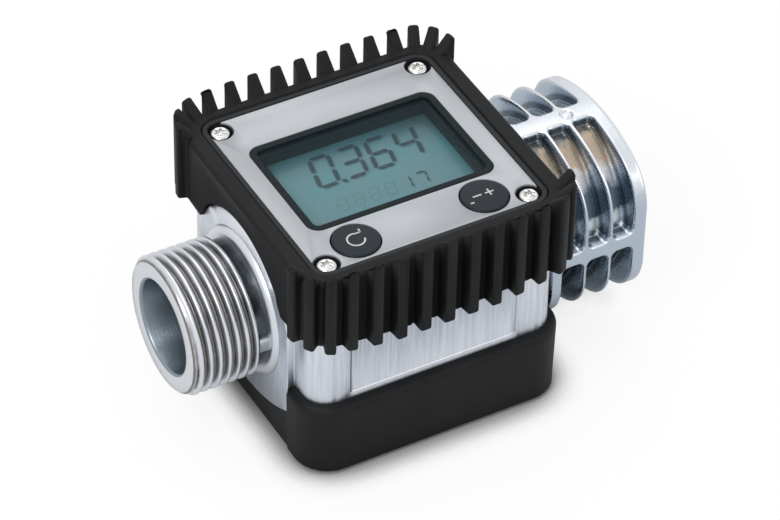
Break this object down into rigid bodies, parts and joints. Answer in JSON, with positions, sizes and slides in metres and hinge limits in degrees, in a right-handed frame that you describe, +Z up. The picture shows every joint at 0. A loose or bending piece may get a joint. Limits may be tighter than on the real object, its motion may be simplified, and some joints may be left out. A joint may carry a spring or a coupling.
{
  "type": "turbine flow meter",
  "caption": "Inline turbine flow meter with male threaded inlet, ribbed female outlet, square display head, finned rubber guard and rubber foot.",
  "frame": {"origin": "centre of the foot's underside", "axes": "+X is the flow direction, from the male inlet to the ribbed outlet; +Z points up out of the display; the flow axis lies 29.2 mm above the origin"},
  "size_m": [0.1125, 0.073, 0.061],
  "materials": {
    "cast_aluminium": "bright satin die-cast aluminium",
    "black_rubber": "matt black rubber",
    "black_plastic": "moulded black plastic",
    "frame_plastic": "semi-gloss black plastic",
    "panel_silver": "satin silver-grey front plate",
    "button_black": "smooth black push button",
    "clear_lens": "clear display lens",
    "display_cell": "teal liquid crystal cell",
    "screw_steel": "bright steel",
    "shaft_steel": "ground steel pin",
    "spring_steel": "spring steel",
    "support_plastic": "moulded dark grey plastic",
    "rotor_plastic": "natural acetal",
    "bearing_plastic": "bronze-coloured bearing plastic",
    "magnet_metal": "plated magnet",
    "gasket_rubber": "flat rubber gasket",
    "board_green": "green circuit board",
    "switch_plastic": "tactile switch",
    "strip_rubber": "elastomer contact strip",
    "contact_metal": "plated spring contact",
    "cell_jacket": "plain battery jacket",
    "sensor_plastic": "pick-up sensor"
  },
  "bodies": {
    "meter": {"body_casting": "cast_aluminium", "inlet_support": "support_plastic", "outlet_support": "support_plastic", "inlet_retaining_ring": "spring_steel", "outlet_retaining_ring": "spring_steel", "thrust_washers": "bearing_plastic", "rotor_shaft": "shaft_steel", "foot_cap": "black_rubber", "battery_cover": "black_plastic", "battery_gasket": "gasket_rubber", "battery_cover_screws": "screw_steel", "front_battery": "cell_jacket", "rear_battery": "cell_jacket", "battery_contacts": "contact_metal", "housing_gasket": "gasket_rubber", "display_housing": "black_plastic", "face_panel": "panel_silver", "cover_screws": "screw_steel", "window_frame": "frame_plastic", "window_lens": "clear_lens", "display_cell": "display_cell", "contact_strips": "strip_rubber", "circuit_board": "board_green", "tactile_switches": "switch_plastic", "pickup_sensor": "sensor_plastic", "rubber_guard": "black_rubber"},
    "rotor": {"turbine_rotor": "rotor_plastic", "rotor_bushes": "bearing_plastic", "rotor_magnets": "magnet_metal"},
    "reset_key": {"reset_button": "button_black"},
    "setup_key": {"setup_button": "button_black"}
  },
  "joints": [
    {"name": "rotor_spin", "type": "hinge", "parent": "meter", "child": "rotor", "pos_m": [0, 0, 0.0292], "axis": [1, 0, 0], "continuous": true},
    {"name": "reset_press", "type": "slide", "parent": "meter", "child": "reset_key", "axis": [0, 0, -1], "range_m": [0, 0.0005], "stiffness_N_per_m": 3000, "springref_m": -0.0002},
    {"name": "setup_press", "type": "slide", "parent": "meter", "child": "setup_key", "axis": [0, 0, -1], "range_m": [0, 0.0005], "stiffness_N_per_m": 3000, "springref_m": -0.0002}
  ]
}
